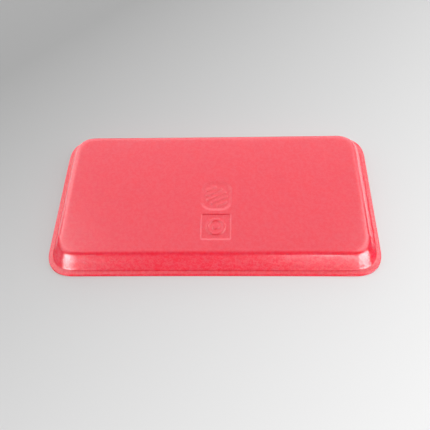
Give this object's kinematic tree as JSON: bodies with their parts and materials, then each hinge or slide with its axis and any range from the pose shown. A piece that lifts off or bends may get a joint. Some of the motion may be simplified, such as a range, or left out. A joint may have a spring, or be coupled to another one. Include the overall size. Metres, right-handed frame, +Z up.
{
  "type": "foam tray",
  "caption": "Shallow rectangular foam tray with rounded corners, sloping walls and a narrow flat rim, lying base up; turned over it holds and carries flat goods.",
  "frame": {"origin": "middle of the rectangle that the rim stands on, with the tray upside down", "axes": "+X along the long sides; +Z up, out of the underside of the base; the tray opens towards -Z"},
  "size_m": [0.273, 0.146, 0.019],
  "materials": {
    "foam": "satin"
  },
  "bodies": {
    "root": {"foam_tray": "foam"}
  },
  "joints": []
}
